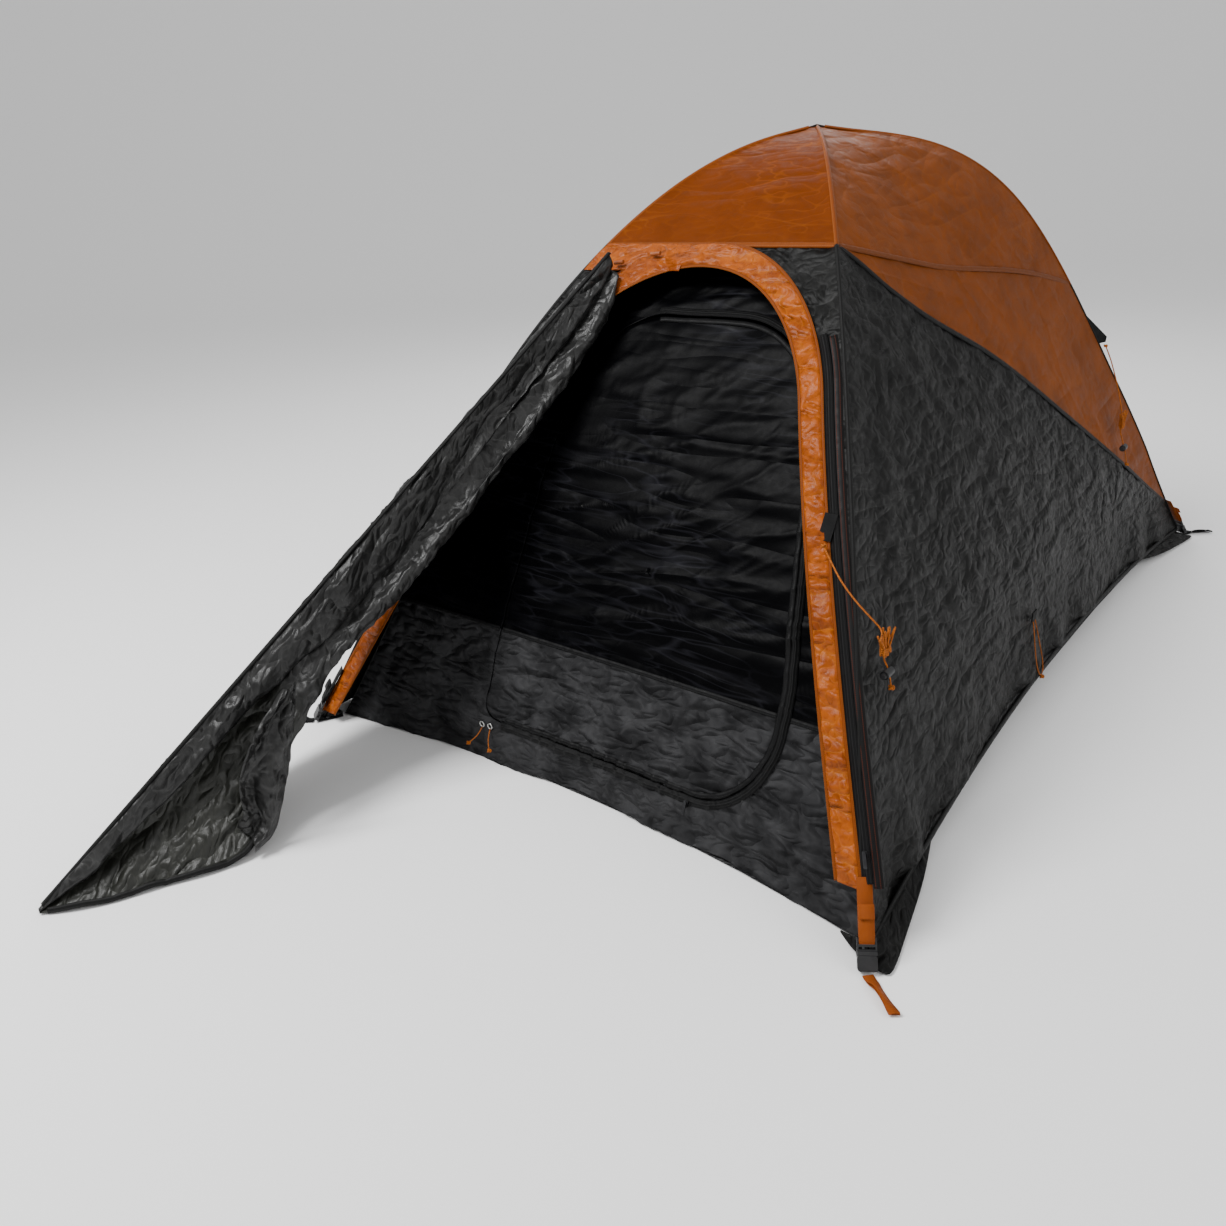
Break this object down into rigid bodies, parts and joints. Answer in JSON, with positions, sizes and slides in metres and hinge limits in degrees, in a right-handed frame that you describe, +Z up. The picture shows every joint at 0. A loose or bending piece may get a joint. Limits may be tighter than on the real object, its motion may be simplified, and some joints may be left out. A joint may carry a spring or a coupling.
{
  "type": "dome tent",
  "caption": "Dome tent on crossed bent poles with an orange and dark grey fly, an arched porch opening with its flap pulled aside, and a black inner tent with a zipped door.",
  "frame": {"origin": "on the ground at the middle of the floor's underside, midway between the four pole feet", "axes": "+Z up, the door faces -Y, +X to the right of someone looking at the door from outside"},
  "size_m": [1.5148, 2.9791, 1.2],
  "materials": {
    "fly_orange": "coated ripstop, satin",
    "fly_grey": "coated ripstop, satin",
    "band_orange": "coated taffeta, slightly shiny",
    "inner_black": "glossy nylon",
    "floor_grey": "coated polyester",
    "pole_rod": "fibreglass rod",
    "sleeve_steel": "plated tube",
    "buckle_black": "moulded acetal",
    "webbing_orange": "woven webbing",
    "webbing_black": "woven webbing",
    "zip_black": "zip tape and coil",
    "slider_metal": "dark enamel",
    "cord_orange": "braided cord"
  },
  "bodies": {
    "tent": {"arch_band": "band_orange", "buckle_sockets": "buckle_black", "cord_locks": "buckle_black", "corner_straps": "webbing_orange", "corner_tabs": "webbing_black", "flap_toggles": "buckle_black", "fly_back_crown": "fly_orange", "fly_back_panel": "fly_orange", "fly_front_left": "fly_grey", "fly_front_right": "fly_grey", "fly_front_top": "fly_orange", "fly_left_crown": "fly_orange", "fly_left_lower": "fly_grey", "fly_left_top": "fly_orange", "fly_right_crown": "fly_orange", "fly_right_lower": "fly_grey", "fly_right_top": "fly_orange", "front_guyline": "cord_orange", "front_guyline_hank": "cord_orange", "front_guyline_tail": "cord_orange", "guy_tabs": "webbing_black", "inner_back_wall": "inner_black", "inner_floor": "floor_grey", "inner_front_wall": "inner_black", "inner_left_wall": "inner_black", "inner_right_wall": "inner_black", "pole_a_front": "pole_rod", "pole_a_rear": "pole_rod", "pole_b_front": "pole_rod", "pole_b_rear": "pole_rod", "pole_clips": "buckle_black", "pole_sleeves": "sleeve_steel", "pole_tips": "sleeve_steel", "rear_guyline": "cord_orange", "rear_guyline_hank": "cord_orange", "rear_guyline_tail": "cord_orange", "side_loop": "cord_orange", "tie_end_left": "cord_orange", "tie_end_right": "cord_orange", "tie_rings": "sleeve_steel", "vestibule_zip": "zip_black"},
    "porch_flap": {"vestibule_door_panel": "fly_grey", "vestibule_side_panel": "fly_grey"},
    "door_leaf": {"inner_door": "inner_black"},
    "porch_slider": {"vestibule_zip_slider": "slider_metal"},
    "door_slider": {"door_zip_slider": "slider_metal"},
    "front_button": {"front_lock_button": "buckle_black"},
    "rear_button": {"rear_lock_button": "buckle_black"},
    "tongue_fr": {"buckle_tongue_fr": "buckle_black"},
    "stake_fr": {"stake_loop_fr": "webbing_orange"},
    "tongue_fl": {"buckle_tongue_fl": "buckle_black"},
    "stake_fl": {"stake_loop_fl": "webbing_orange"},
    "tongue_rr": {"buckle_tongue_rr": "buckle_black"},
    "stake_rr": {"stake_loop_rr": "webbing_orange"},
    "tongue_rl": {"buckle_tongue_rl": "buckle_black"},
    "stake_rl": {"stake_loop_rl": "webbing_orange"}
  },
  "joints": [
    {"name": "porch_flap_swing", "type": "hinge", "parent": "tent", "child": "porch_flap", "pos_m": [-0.42229, -0.77094, 0.6075], "axis": [-0.3943, -0.5332, -0.7485], "range_deg": [0, 60]},
    {"name": "inner_door_swing", "type": "hinge", "parent": "tent", "child": "door_leaf", "pos_m": [-0.25, -0.82046, 0.42711], "axis": [0, -0.5004, -0.8658], "range_deg": [0, 35]},
    {"name": "porch_zip_run", "type": "hinge", "parent": "tent", "child": "porch_slider", "pos_m": [1.60343, 3.8963, -1.94452], "axis": [-0.9114, 0, -0.4115], "range_deg": [0, 7.24]},
    {"name": "door_zip_run", "type": "hinge", "parent": "tent", "child": "door_slider", "pos_m": [0.28073, -0.91628, 0.23111], "axis": [-0.04, -0.9005, 0.433], "range_deg": [0, 90.3]},
    {"name": "buckle_pull_fr", "type": "slide", "parent": "tent", "child": "tongue_fr", "axis": [-0.2887, 0.4537, 0.8431], "range_m": [0, 0.024]},
    {"name": "stake_loop_lift_fr", "type": "hinge", "parent": "tent", "child": "stake_fr", "pos_m": [0.70644, -1.11012, 0.004], "axis": [-0.8437, -0.5369, 0], "range_deg": [0, 90]},
    {"name": "buckle_pull_fl", "type": "slide", "parent": "tent", "child": "tongue_fl", "axis": [0.2887, 0.4537, 0.8431], "range_m": [0, 0.024]},
    {"name": "stake_loop_lift_fl", "type": "hinge", "parent": "tent", "child": "stake_fl", "pos_m": [-0.70644, -1.11012, 0.004], "axis": [-0.8437, 0.5369, 0], "range_deg": [0, 90]},
    {"name": "buckle_pull_rr", "type": "slide", "parent": "tent", "child": "tongue_rr", "axis": [-0.2887, -0.4537, 0.8431], "range_m": [0, 0.024]},
    {"name": "stake_loop_lift_rr", "type": "hinge", "parent": "tent", "child": "stake_rr", "pos_m": [0.70644, 1.11012, 0.004], "axis": [0.8437, -0.5369, 0], "range_deg": [0, 90]},
    {"name": "buckle_pull_rl", "type": "slide", "parent": "tent", "child": "tongue_rl", "axis": [0.2887, -0.4537, 0.8431], "range_m": [0, 0.024]},
    {"name": "stake_loop_lift_rl", "type": "hinge", "parent": "tent", "child": "stake_rl", "pos_m": [-0.70644, 1.11012, 0.004], "axis": [0.8437, 0.5369, 0], "range_deg": [0, 90]},
    {"name": "front_lock_press", "type": "slide", "parent": "tent", "child": "front_button", "axis": [0, 1, 0], "range_m": [0, 0.004], "stiffness_N_per_m": 300},
    {"name": "rear_lock_press", "type": "slide", "parent": "tent", "child": "rear_button", "axis": [0, 1, 0], "range_m": [0, 0.004], "stiffness_N_per_m": 300}
  ]
}
